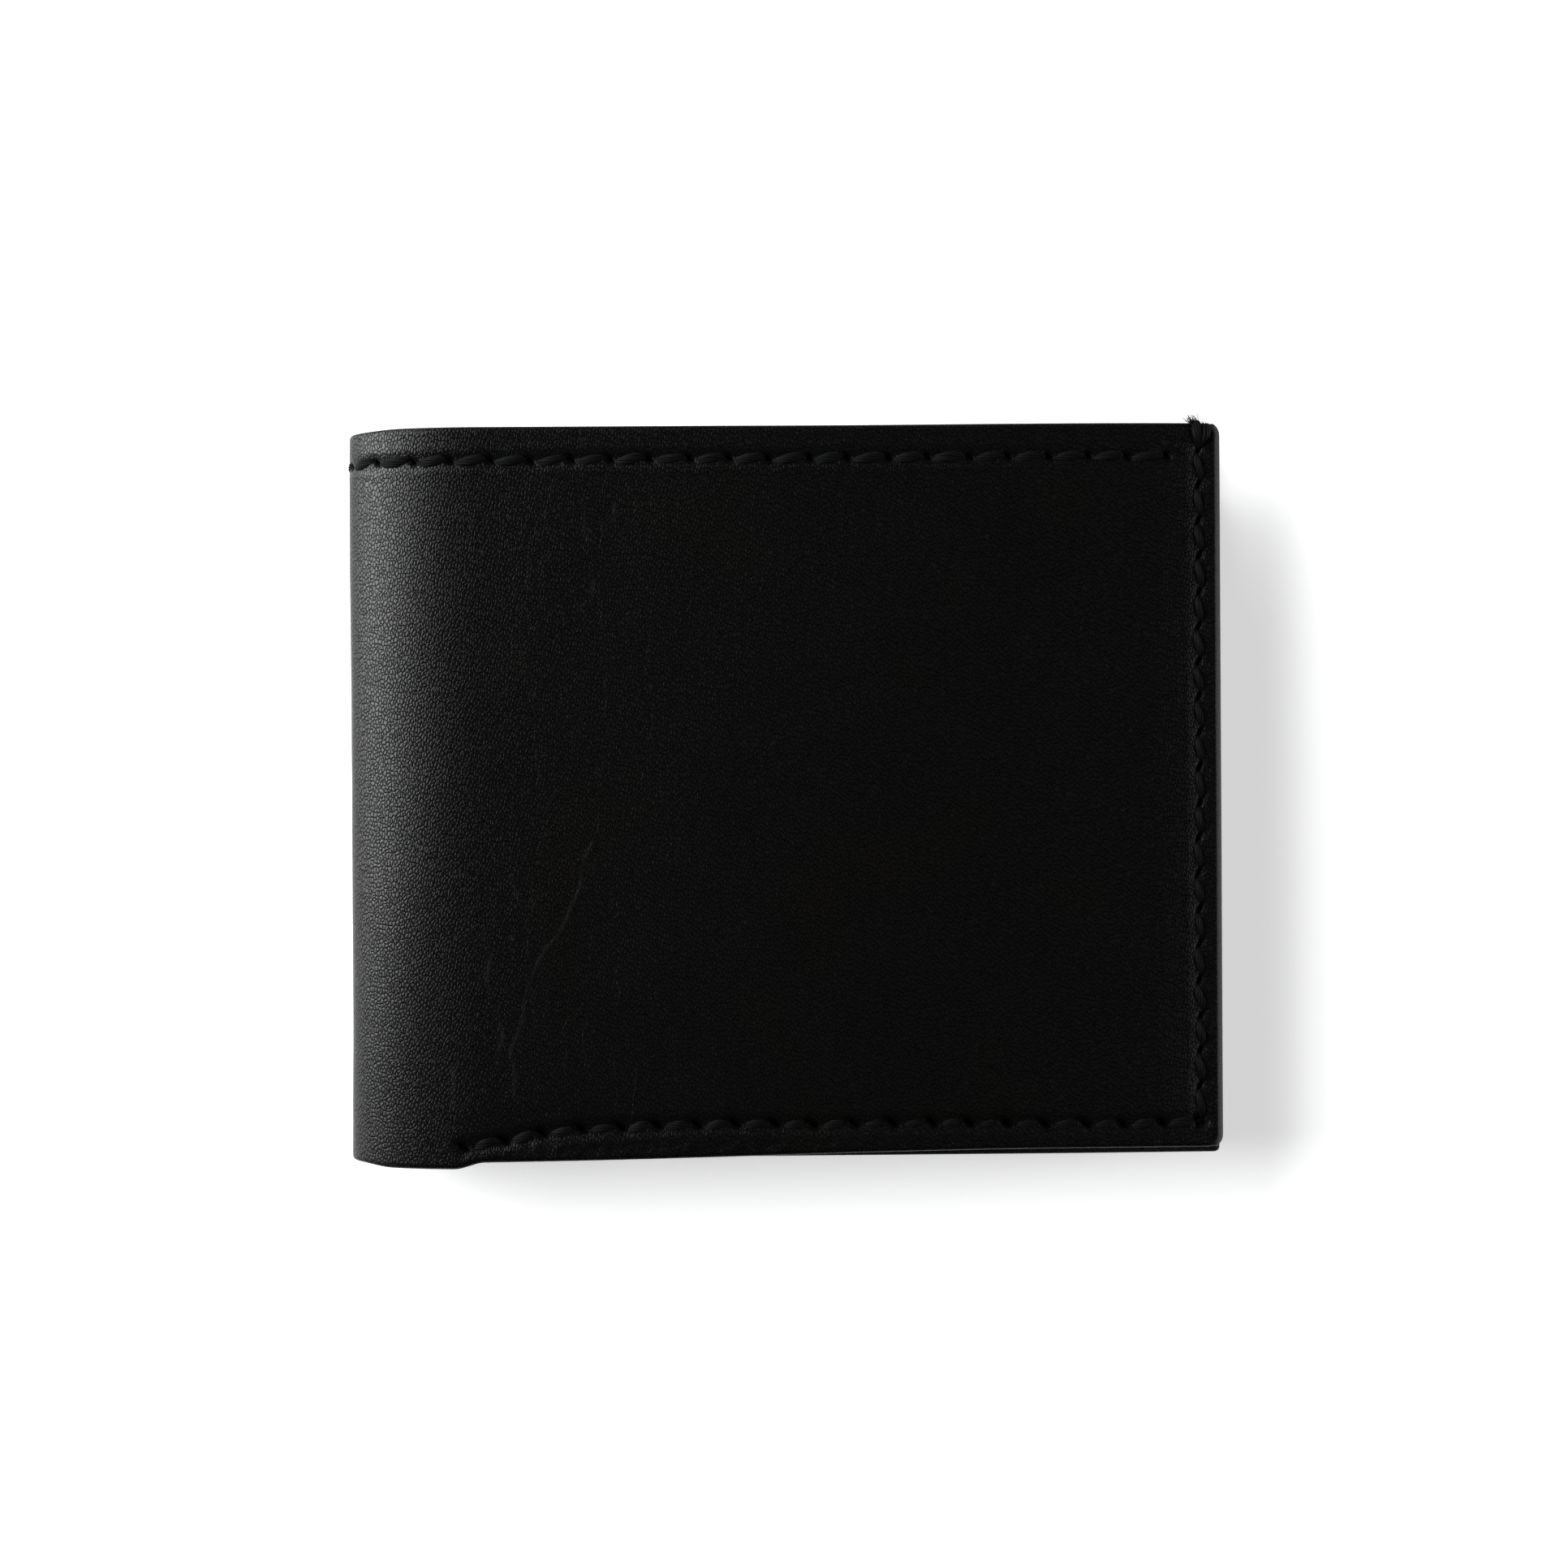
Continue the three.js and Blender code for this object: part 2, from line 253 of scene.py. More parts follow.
def shell_relief(half, t, y, x):
    """Height of the shell's face over its plain section, and how deep in a stitch hole it is."""
    height = 0.07 * waves(t, y, 3, 42) + 0.014 * waves(t, y, 4, 12)
    holes = np.zeros_like(t)
    for name, line in LINES[half].items():
        depth, width, length, slit, direction, _ = FURROWS[name]
        along = near_line(line, t, y)
        hole, scaled = near_slits(line, t, y, length, slit, direction)
        height -= depth * np.exp(-((along / width) ** 2))
        height -= 0.5 * np.exp(-(scaled ** 2))
        pull = np.exp(-(((along - 1.35) / 0.6) ** 2))
        height += 0.06 * pull * (1 - 1.5 * np.exp(-((hole / 1.5) ** 2)))
        # how deep in a hole each point lies; the material paints shade at these points
        holes = np.maximum(holes, np.exp(-((scaled * 0.62) ** 4)))
    height -= 0.30 * smooth(FREE_X - 9, FREE_X - 1.5, x) * smooth(-46, -36, y)
    height -= 0.22 * smooth(-37.5, -44.5, y) * smooth(-42, -34, x)
    rim = smooth(SIDE_LINE_X + 0.3, SIDE_LINE_X + 1.2, x) + smooth(-42.6, -44, y) * smooth(-42, -36, x)
    height += 0.045 * np.clip(rim, 0, 1) * waves(t, y, 5, 1.7)
    if half == "back":
        height = np.minimum(height - 0.05, 0)  # it lies on this face
    return height, holes


# ---------------------------------------------------------------- sheets
def new_object(name, verts, faces, uvs=None, values=None, flat_faces=()):
    """A mesh object from millimetre coordinates, with one UV and named values per vertex."""
    mesh = bpy.data.meshes.new(name)
    mesh.from_pydata((np.asarray(verts) * MM).tolist(), [], [list(map(int, f)) for f in faces])
    smooth_flags = np.ones(len(mesh.polygons), bool)
    smooth_flags[list(flat_faces)] = False
    mesh.polygons.foreach_set("use_smooth", smooth_flags)
    if uvs is not None:
        index = np.zeros(len(mesh.loops), np.int32)
        mesh.loops.foreach_get("vertex_index", index)
        layer = mesh.uv_layers.new(name="leather")
        layer.data.foreach_set("uv", (np.asarray(uvs)[index] / 100).astype(np.float32).ravel())
    for key, data in (values or {}).items():
        attribute = mesh.attributes.new(key, "FLOAT", "POINT")
        attribute.data.foreach_set("value", np.asarray(data, np.float32))
    mesh.update()
    obj = bpy.data.objects.new(name, mesh)
    bpy.context.scene.collection.objects.link(obj)
    return obj


def grid_faces(index):
    """The quads of a grid of vertex indices."""
    a, b, c, d = index[:-1, :-1], index[1:, :-1], index[1:, 1:], index[:-1, 1:]
    return np.stack([a, b, c, d], -1).reshape(-1, 4)


def seam_draw(t, y, x):
    """0 at a sewn edge of the half, rising to 1 away from it."""
    side = smooth(FREE_X - 1.5, FREE_X - 1.5 - SEAM_REACH, x)
    bottom = smooth(-HALF_WIDTH + 1.5, -HALF_WIDTH + 1.5 + SEAM_REACH, y)
    bottom = np.maximum(bottom, 1 - smooth(-42, -34, x))
    return side * bottom


def sewn_inset(layer, y):
    """Inset of a layer's outer face at a sewn edge. The lower pocket drops where the others end."""
    sewn = LAYERS[layer][1]
    if layer == "lower":
        beside_divider = LAYERS["upper"][1]
        sewn = beside_divider + (sewn - beside_divider) * smooth(-9, 3, y)
    return sewn


def layer_inset(layer, t, y, x):
    """Inset of a layer's outer face, which the seams draw in."""
    sewn = sewn_inset(layer, y)
    return sewn + (LAYERS[layer][0] - sewn) * seam_draw(t, y, x)


FINE_AT_TIP = (0, 0.08, 0.2, 0.4, 0.7)
RING_ANGLES = np.linspace(0, math.pi, 8)[1:]


def columns(end, step):
    """Distances from the tip of the fold up to end, closer together at the tip."""
    count = max(1, math.ceil((end - FINE_AT_TIP[-1]) / step))
    return np.concatenate([FINE_AT_TIP[:-1], np.linspace(FINE_AT_TIP[-1], end, count + 1)])


def even_rows(step):
    """Rows from 0 to 1 across the wallet, about a step apart."""
    return np.linspace(0, 1, round(2 * HALF_WIDTH / step) + 1)


def sewn_rows(fine, coarse, band=6.5):
    """Rows from 0 to 1 across the wallet, closer together in the bands that the stitches cross."""
    share = band / (2 * HALF_WIDTH)
    side = np.linspace(0, share, round(band / fine) + 1)
    middle = np.linspace(share, 1 - share, round((2 * HALF_WIDTH - 2 * band) / coarse) + 1)
    return np.concatenate([side, middle[1:-1], 1 - side[::-1]])


def round_corners(t, y, x, low, high, corner_x):
    """Draws the grid in at its two free corners, whose arcs are centred at corner_x."""
    for edge_y, sign in ((low, -1), (high, 1)):
        dx = x - corner_x
        dy = sign * (y - edge_y) + CORNER_RADIUS
        inside = (dx > 0) & (dy > 0)
        size = np.hypot(dx, dy)
        scale = np.where(inside & (size > 0), np.maximum(dx, dy) / np.maximum(size, 1e-9), 1)
        t = np.where(inside, t + dx * (scale - 1), t)
        y = np.where(inside, y + sign * dy * (scale - 1), y)
    return t, y


def edge_path(nt, nv):
    """Grid indices along the bottom, free and top edges, from the fold round to the fold."""
    path = [(i, 0) for i in range(nt)] + [(nt - 1, j) for j in range(1, nv)]
    path += [(i, nv - 1) for i in range(nt - 2, -1, -1)]
    return tuple(np.array(path).T)


def edge_directions(x, y, low, high, corner_x, at):
    """The way out of the sheet, in its own plane, at each point of its edge."""
    rows, columns_at = at
    on_side = rows == x.shape[0] - 1
    out = np.zeros((len(rows), 3))
    out[on_side] = (1, 0, 0)
    out[(columns_at == 0) & ~on_side] = (0, -1, 0)
    out[(columns_at == x.shape[1] - 1) & ~on_side] = (0, 1, 0)
    for edge_y, sign in ((low, -1), (high, 1)):
        dx = x[at] - corner_x
        dy = sign * (y[at] - (edge_y[at] - sign * CORNER_RADIUS))
        near = (dx > 1e-6) & (dy > 1e-6)
        size = np.hypot(dx, dy)
        out[near] = np.stack([dx / size, sign * dy / size, 0 * dx], -1)[near]
    return out


class Sheet:
    """Collects the mesh of a sheet, with what its material reads at each vertex."""

    def __init__(self, half):
        self.turned = half == "back"
        self.verts, self.uvs, self.faces, self.count = [], [], [], 0
        self.values = {"edge": [], "hole": [], "rim": []}

    def add(self, verts, uvs, edge=0.0, hole=0.0, rim=0.0):
        """Adds vertices and returns their indices."""
        self.verts.append(verts)
        self.uvs.append(uvs)
        for key, value in (("edge", edge), ("hole", hole), ("rim", rim)):
            self.values[key].append(np.broadcast_to(value, len(verts)))
        self.count += len(verts)
        return np.arange(self.count - len(verts), self.count)

    def add_faces(self, faces):
        """Adds faces that are wound for the front half."""
        self.faces += [f[::-1] for f in faces] if self.turned else list(faces)

    def dome(self, index, start, stop, uv, out, reach_out, bevel, light, painted):
        """Rings that round the edge from the outer face at start to the inner face at stop."""
        rings = [index]
        for angle in RING_ANGLES:
            down, away = (1 - math.cos(angle)) / 2, math.sin(angle)
            straight = min(down / 0.7, 1) - 0.45 * max(0, (down - 0.7) / 0.3)
            away = away * (1 - bevel) + straight * bevel
            ring = self.add(
                start + (stop - start) * down + out * reach_out * away,
                uv + out[:, :2] * reach_out * angle,
                edge=min(1.0, 0.35 + math.sin(angle)) * light,
                rim=np.where(out[:, 1] > 0, min(1, angle - 0.2), max(0, 1.3 - angle)) * painted,
            )
            last = rings[-1]
            self.add_faces(np.stack([last[:-1], ring[:-1], ring[1:], last[1:]], -1))
            rings.append(ring)
        return rings

    def close_with_strips(self, ring, nt, nv):
        """An inner face of straight strips from the bottom to the top edge."""
        bottom, top = ring[:nt], ring[::-1][:nt]
        self.add_faces([[bottom[i], top[i], top[i + 1], bottom[i + 1]] for i in range(nt - 2)])
        self.add_faces([[bottom[nt - 2], top[nt - 2], *ring[nt - 1:nt + nv - 1][::-1]]])

    def close_with_grid(self, ring, at, inner, uv):
        """An inner face like the outer one. Returns its vertices at the tip of the fold."""
        index = np.full(inner.shape[:2], -1)
        index[at] = ring
        free = index < 0
        index[free] = self.add(inner[free], uv[free])
        self.add_faces(grid_faces(index)[:, ::-1])
        return list(index[0, 1:-1][::-1])

    def object(self, name, half, with_creases):
        """The finished object. Its last face, at the tip of the fold, is flat."""
        values = {key: np.concatenate(parts) for key, parts in self.values.items()}
        uvs = np.concatenate(self.uvs)
        if with_creases:
            values["crease"] = crease_marks(half, uvs[:, 0], uvs[:, 1])
        return new_object(name, np.concatenate(self.verts), self.faces, uvs, values, [len(self.faces) - 1])


def place(half, t, y, inset, lift):
    """Points of a half at an inset from its outer face, lifted along the face's normal."""
    px, pz, nx, nz = fold(half, t, inset)
    return np.stack([px + nx * lift, y, pz + nz * lift], -1)


def wrap_sheet(name, half, layer, reach, edges, step, relief=None, dome=(0.55, 0.55), rows=None):
    """A sheet of one half from the tip of the fold to x = reach, with domed edges.

    edges gives its low and high y at each x. dome is how far the edge stands out at the free side
    and at the top and bottom. A sheet with a relief has a bevelled free edge, and an inner face of
    straight strips.
    """
    t, v = np.meshgrid(
        columns(t_of_x(reach - dome[0]), step), even_rows(step) if rows is None else rows, indexing="ij",
    )
    x = fold(half, t, 0.0)[0]
    low, high = edges[0](x) + dome[1], edges[1](x) - dome[1]
    corner_x = reach - dome[0] - CORNER_RADIUS
    t, y = round_corners(t, low + (high - low) * v, x, low, high, corner_x)
    x = fold(half, t, 0.0)[0]
    height, holes = relief(half, t, y, x) if relief else (0.02 * waves(t, y, 9, 30), np.zeros_like(t))
    base = layer_inset(layer, t, y, x)
    outer = place(half, t, y, base, height)
    inner = place(half, t, y, base + LAYERS[layer][2], 0.0 if relief else height)

    sheet = Sheet(half)
    uv = np.stack([t, y], -1)
    index = sheet.add(outer.reshape(-1, 3), uv.reshape(-1, 2), hole=holes.ravel()).reshape(t.shape)
    sheet.add_faces(grid_faces(index))
    at = edge_path(*t.shape)
    out = edge_directions(x, y, low, high, corner_x, at)
    reach_out = np.where(np.abs(out[:, 0]) > 0.5, dome[0], dome[1])[:, None]
    bevel = np.abs(out[:, 0:1]) * (0.55 if relief else 0)
    on_side = at[0] == t.shape[0] - 1
    # how much lighter edge colour each edge gets, fullest on the free side that faces the fill lamp: partly
    # a raw edge, partly a painted reflection of the floor and fill
    light = np.where(on_side, 1.0, 0.45 * np.abs(out[:, 0])) if relief else 0.5
    painted = np.abs(out[:, 1]) * (layer == "shell")
    rings = sheet.dome(index[at], outer[at], inner[at], uv[at], out, reach_out, bevel, light, painted)
    if relief:
        sheet.close_with_strips(rings[-1], *t.shape)
        inner_tip = []
    else:
        inner_tip = sheet.close_with_grid(rings[-1], at, inner, uv)
    tip = [*index[0], *(r[-1] for r in rings[1:]), *inner_tip, *(r[0] for r in rings[:0:-1])]
    sheet.add_faces([tip[::-1]])
    return sheet.object(name, half, layer == "shell")


def cut_size(half, layer, reach, edges):
    """Width and mean height of a sheet of one half laid flat, in metres."""
    t = np.linspace(0, t_of_x(reach), 400)
    x, z, _, _ = fold(half, t, LAYERS[layer][0])
    width = np.hypot(np.diff(x), np.diff(z)).sum()
    height = np.mean(edges[1](x) - edges[0](x))
    return float(width) * MM, float(height) * MM


def bend(obj):
    """Bakes the object's transform into its mesh."""
    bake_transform(obj)


# ---------------------------------------------------------------- materials
# painted shade for the pits between the grain's pebbles
PIT_PAINTED_SHADE = (0.0006, 0.0006, 0.0006, 1)
CREASE_COLOUR = (0.0105, 0.0106, 0.0103, 1)
# colour of raw cut edges, also used as a painted reflection on the cover's free side
RAW_EDGE_AND_PAINTED_REFLECTION = (0.05, 0.051, 0.048, 1)
# painted shade for the stitch holes
HOLE_PAINTED_SHADE = (0.0003, 0.0003, 0.0003, 1)


def material(name, **sockets):
    """A new material with some of its shader's sockets set, its node tree and its shader."""
    mat = bpy.data.materials.new(name)
    mat.use_nodes = True
    shader = mat.node_tree.nodes["Principled BSDF"]
    for socket, value in sockets.items():
        shader.inputs[socket.replace("_", " ")].default_value = value
    return mat, mat.node_tree, shader


class Nodes:
    """Short names for the nodes that the materials use."""

    def __init__(self, tree):
        self.tree = tree

    def add(self, kind, settings=None, **inputs):
        """A node of a kind. inputs are values or sockets, by name, or by number as i0, i1 and so on."""
        node = self.tree.nodes.new(kind)
        for key, value in (settings or {}).items():
            setattr(node, key, value)
        for key, value in inputs.items():
            socket = node.inputs[int(key[1:])] if key[0] == "i" and key[1:].isdigit() else node.inputs[key]
            if isinstance(value, bpy.types.NodeSocket):
                self.tree.links.new(value, socket)
            else:
                socket.default_value = value
        return node

    def uv(self, scale):
        uv = self.add("ShaderNodeUVMap", {"uv_map": "leather"}).outputs[0]
        return self.add("ShaderNodeVectorMath", {"operation": "MULTIPLY"}, i0=uv, i1=scale).outputs[0]

    def shifted(self, vector, by, amount):
        """The vector plus amount times by."""
        settings = {"operation": "MULTIPLY_ADD"}
        return self.add("ShaderNodeVectorMath", settings, i0=by, i1=amount, i2=vector).outputs[0]

    def math(self, operation, a, b=0.0, clamp=False):
        settings = {"operation": operation, "use_clamp": clamp}
        return self.add("ShaderNodeMath", settings, i0=a, i1=b).outputs[0]

    def times(self, a, b):
        return self.math("MULTIPLY", a, b)

    def rest(self, a):
        """One less a."""
        return self.math("SUBTRACT", 1.0, a)

    def noise(self, vector, scale, detail=3.0):
        return self.add("ShaderNodeTexNoise", None, Vector=vector, Scale=scale, Detail=detail).outputs[0]

    def cells(self, vector, scale, feature="DISTANCE_TO_EDGE"):
        settings = {"feature": feature, "voronoi_dimensions": "2D"}
        return self.add("ShaderNodeTexVoronoi", settings, Vector=vector, Scale=scale).outputs["Distance"]

    def ramp(self, value, low, high, to_low=0.0, to_high=1.0):
        settings = {"interpolation_type": "SMOOTHSTEP"}
        limits = {"i1": low, "i2": high, "i3": to_low, "i4": to_high}
        return self.add("ShaderNodeMapRange", settings, i0=value, **limits).outputs[0]

    def mix(self, factor, a, b):
        node = self.add("ShaderNodeMix", {"data_type": "RGBA"}, Factor=factor)
        for socket, value in ((node.inputs[6], a), (node.inputs[7], b)):
            if isinstance(value, bpy.types.NodeSocket):
                self.tree.links.new(value, socket)
            else:
                socket.default_value = value
        return node.outputs[2]

    def attribute(self, name):
        return self.add("ShaderNodeAttribute", {"attribute_name": name}).outputs["Fac"]

    def bump(self, height, distance, strength=1.0, normal=None):
        node = self.add("ShaderNodeBump", None, Strength=strength, Distance=distance, Height=height)
        if normal is not None:
            self.tree.links.new(normal, node.inputs["Normal"])
        return node.outputs[0]


def grain_of(n, mm, cell):
    """The pits between the leather's pebbles, and the pebbles' height."""
    settings = {"Rotation": (0, 0, 0.5), "Scale": (1.25, 0.85, 1)}
    slanted = n.add("ShaderNodeMapping", None, Vector=mm, **settings).outputs[0]
    warp = n.add("ShaderNodeTexNoise", None, Vector=mm, Scale=0.8, Detail=2.0).outputs["Color"]
    warped = n.shifted(slanted, warp, (0.4, 0.4, 0))
    distance = n.cells(warped, 1 / cell)
    fine = n.cells(warped, 1.9 / cell)
    broken = n.ramp(n.noise(warped, 0.9 / cell, 1.0), 0.34, 0.5, 0.5, 1.0)
    coarse_pit = n.times(n.ramp(distance, 0.03, 0.2, 1.0, 0.0), broken)
    fine_pit = n.times(n.ramp(fine, 0.02, 0.14, 1.0, 0.0), n.rest(broken))
    pit = n.math("ADD", coarse_pit, n.times(fine_pit, 0.4))
    pebble = n.math("ADD", n.times(n.ramp(distance, 0.0, 0.4), 0.6), n.times(fine, 0.5))
    return pit, pebble


def creases_of(n, mm, from_tip):
    """Faint creases along the fold, and the deeper ones that the cover's mesh marks."""
    stretched = n.uv((100, 9, 100))
    bent = n.add("ShaderNodeTexNoise", None, Vector=mm, Scale=0.22, Detail=3.0).outputs["Color"]
    path = n.shifted(stretched, bent, (3.2, 0.6, 0))
    line = n.ramp(n.cells(path, 0.24), 0.002, 0.012, 1.0, 0.0)
    zone = n.times(n.ramp(from_tip, 16, 24), n.ramp(from_tip, 36, 52, 1.0, 0.0))
    some = n.ramp(n.noise(mm, 0.2, 1.0), 0.5, 0.62)
    faint = n.times(n.times(line, some), zone)
    return n.math("MAXIMUM", n.times(faint, 0.6), n.attribute("crease"))


def leather(name, base, stain, cell, depth, rough, cover):
    """Pebbled leather. cell is the size of a pebble and depth its height, in millimetres.

    The cover is creased, and polished at the fold. The pockets have a line pressed in below
    their mouths instead.
    """
    mat, tree, shader = material(name)
    n = Nodes(tree)
    mm = n.uv((100, 100, 100))
    place = n.add("ShaderNodeSeparateXYZ", None, Vector=mm)
    from_tip, below_middle = place.outputs[0], n.times(place.outputs[1], -1.0)
    pit, pebble = grain_of(n, mm, cell)
    grain = n.math("SUBTRACT", pebble, n.times(pit, 0.5))
    normal = n.bump(n.times(grain, n.ramp(from_tip, 10, 32, 1.0, 0.7)), depth * MM)
    cloud = n.ramp(n.noise(mm, 0.045, 2.0), 0.52, 0.74)
    # painted shade: the base colour is darkened in the grain's pits, over the random stains
    colour = n.mix(n.math("MULTIPLY", pit, 0.75, True), n.mix(cloud, base, stain), PIT_PAINTED_SHADE)
    shine = n.times(n.rest(n.times(pit, 0.8)), 0.35)
    if cover:
        crease = creases_of(n, mm, from_tip)
        normal = n.bump(crease, 0.014 * MM, 1.0, normal)
        colour = n.mix(n.times(crease, 0.8), colour, CREASE_COLOUR)
        # hands polish the fold, less so towards its bottom end
        worn = n.math("ADD", from_tip, n.times(n.math("MAXIMUM", below_middle, 0.0), 0.12))
        shine = n.times(shine, n.ramp(worn, 6, 17, 1.0, 0.40))
    else:
        below = n.math("ABSOLUTE", n.math("SUBTRACT", n.attribute("mouth"), 2.2))
        normal = n.bump(n.ramp(below, 0.08, 0.34), 0.16 * MM, 1.0, normal)
    hole = n.attribute("hole")
    # lighter edges: raw cut edges, and on the cover's free side a painted reflection as well
    colour = n.mix(n.attribute("edge"), colour, RAW_EDGE_AND_PAINTED_REFLECTION)
    # painted shade: the base colour is darkened in the stitch holes
    colour = n.mix(hole, colour, HOLE_PAINTED_SHADE)
    roughness = n.ramp(n.noise(mm, 0.09), 0.3, 0.7, rough, rough + 0.02)
    dark = n.math("MAXIMUM", hole, n.times(n.attribute("rim"), 0.85))
    tree.links.new(colour, shader.inputs["Base Color"])
    tree.links.new(n.math("MAXIMUM", roughness, n.times(hole, 0.9)), shader.inputs["Roughness"])
    tree.links.new(n.times(shine, n.rest(dark)), shader.inputs["Specular IOR Level"])
    tree.links.new(normal, shader.inputs["Normal"])
    return mat


def thread_material():
    """Black waxed thread, with strands that run along it."""
    sockets = {"Roughness": 0.55, "Specular_IOR_Level": 0.08, "Sheen_Weight": 0.01, "Sheen_Roughness": 0.5}
    mat, tree, shader = material("waxed_thread", **sockets)
    n = Nodes(tree)
    strands = n.noise(n.uv((30, 1500, 100)), 1.0, 2.0)
    tone = n.ramp(strands, 0.3, 0.7)
    colour = n.mix(tone, (0.0005, 0.0006, 0.0006, 1), (0.0014, 0.0018, 0.0016, 1))
    tree.links.new(colour, shader.inputs["Base Color"])
    tree.links.new(n.bump(strands, 0.05 * MM), shader.inputs["Normal"])
    return mat


def lining_material():
    """Matte black twill."""
    mat, tree, shader = material("lining_cloth", Specular_IOR_Level=0.25, Sheen_Weight=0.2, Roughness=0.8)
    n = Nodes(tree)
    mm = n.uv((100, 100, 100))
    settings = {"wave_type": "BANDS", "bands_direction": "DIAGONAL"}
    twill = n.add("ShaderNodeTexWave", settings, Vector=mm, Scale=0.9, Distortion=0.6).outputs["Fac"]
    settings["bands_direction"] = "X"
    warp = n.add("ShaderNodeTexWave", settings, Vector=mm, Scale=1.1, Distortion=0.3).outputs["Fac"]
    weave = n.math("MULTIPLY", twill, warp)
    colour = n.mix(weave, (0.003, 0.0032, 0.0038, 1), (0.009, 0.0095, 0.011, 1))
    tree.links.new(colour, shader.inputs["Base Color"])
    tree.links.new(n.bump(weave, 0.08 * MM), shader.inputs["Normal"])
    return mat


COVER = leather(
    "cover_leather", (0.0031, 0.0032, 0.0031, 1), (0.0038, 0.0034, 0.0029, 1), 0.5, 0.031, 0.278, True,
)
POCKET = leather(
    "pocket_leather", (0.0034, 0.0033, 0.0032, 1), (0.005, 0.0045, 0.004, 1), 0.42, 0.025, 0.42, False,
)
THREAD = thread_material()
LINING = lining_material()


def finish_piece(obj, mat, nodes):
    """Gives a piece its material, and hides the CAD nodes that it stands for."""
    obj.data.materials.append(mat)
    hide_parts(*nodes)
    return obj


# ---------------------------------------------------------------- shell, lining and divider
def nodes_of(stem, half):
    """The CAD nodes that a sheet of one half stands for. The front one has the spine's too."""
    ends = ("front", "spine") if half == "front" else ("back",)
    return [f"{stem}_{end}" for end in ends]


def build_shell(half):
    edges = (lambda x: low_edge(half, x), lambda x: high_edge(half, x))
    rows = sewn_rows(0.26, 0.46)
    name = f"shell_{half}_half"
    shell = wrap_sheet(name, half, "shell", FREE_X, edges, 0.34, shell_relief, (0.85, 0.6), rows)
    finish_piece(shell, COVER, nodes_of("shell", half))
    bend(shell)
    return shell


def build_lining(half, shell):
    edges = (lambda x: low_edge(half, x) + 0.25, lambda x: high_edge(half, x) - 0.9)
    reach = FREE_X - 0.3
    lining = wrap_sheet(f"lining_{half}_half", half, "lining", reach, edges, 1.6, dome=(0.15, 0.15))
    finish_piece(lining, LINING, nodes_of("lining", half))
    bend(lining)
    cut = cut_size(half, "lining", reach, edges)


def build_divider(half):
    edges = (lambda x: low_edge(half, x) + 0.12, lambda x: 0 * x + DIVIDER_TOP)
    name = f"bill_divider_{half}_half"
    divider = wrap_sheet(name, half, "divider", FREE_X - 0.15, edges, 1.4, dome=(0.3, 0.3))
    finish_piece(divider, POCKET, nodes_of("bill_divider", half))
    bend(divider)


for half in ("front", "back"):
    build_lining(half, build_shell(half))
    build_divider(half)


# ---------------------------------------------------------------- card pockets
def pocket_outline(row):
    """Corners of a card pocket, from its spine-side mouth corner: T-shaped, or a plain panel."""
    mouth = POCKET_MOUTHS[row]
    left, right = POCKET_INNER_X, FREE_X - 0.2
    if row == "lower":
        foot = -HALF_WIDTH + 0.5
        return [(left, mouth), (left, foot), (right, foot), (right, mouth)]
    wing, foot = mouth - WING_HEIGHT, mouth - POCKET_DEPTH
    return [
        (left, mouth), (left, wing), (left + 3.5, wing - 2), (left + 3.5, foot),
        (right - 6.3, foot), (right - 6.3, wing - 2), (right, wing), (right, mouth),
    ]


def rounded(points, radius, steps=5):
    """The outline with its corners turned into arcs."""
    result = []
    count = len(points)
    for i, here in enumerate(points):
        here = np.array(here, float)
        before, after = np.array(points[i - 1], float), np.array(points[(i + 1) % count], float)
        to_before = (before - here) / np.linalg.norm(before - here)
        to_after = (after - here) / np.linalg.norm(after - here)
        for k in range(steps + 1):
            a = k / steps
            start, stop = here + to_before * radius, here + to_after * radius
            result.append((1 - a) ** 2 * start + 2 * a * (1 - a) * here + a * a * stop)
    return result


def pocket_slab(row):
    """Vertices and faces of a flat pocket piece with rounded edges, whose outer face is z = 0."""
    thickness = LAYERS[row][2]
    mesh = bmesh.new()
    outline = [mesh.verts.new((px, py, 0)) for px, py in rounded(pocket_outline(row), 0.8)]
    mesh.faces.new(outline[::-1])
    cuts = [(Vector((1, 0, 0)), c) for c in np.arange(POCKET_INNER_X + POCKET_GRID, FREE_X, POCKET_GRID)]
    cuts += [(Vector((0, 1, 0)), c) for c in np.arange(-HALF_WIDTH + POCKET_GRID, HALF_WIDTH, POCKET_GRID)]
    for normal, cut in cuts:
        geometry = mesh.verts[:] + mesh.edges[:] + mesh.faces[:]
        bmesh.ops.bisect_plane(mesh, geom=geometry, plane_co=normal * float(cut), plane_no=normal)
    inner_side = bmesh.ops.extrude_face_region(mesh, geom=mesh.faces[:])
    for vert in (v for v in inner_side["geom"] if isinstance(v, bmesh.types.BMVert)):
        vert.co.z = thickness
    bmesh.ops.recalc_face_normals(mesh, faces=mesh.faces[:])
    sharp = [e for e in mesh.edges if len(e.link_faces) == 2 and e.calc_face_angle() > 1.0]
    bevel = {"offset": thickness * 0.42, "segments": 3, "affect": "EDGES", "profile": 0.5}
    bmesh.ops.bevel(mesh, geom=sharp, **bevel)
    mesh.verts.index_update()
    co = np.array([v.co for v in mesh.verts])
    faces = [[v.index for v in f.verts] for f in mesh.faces]
    mesh.free()
    return co, faces


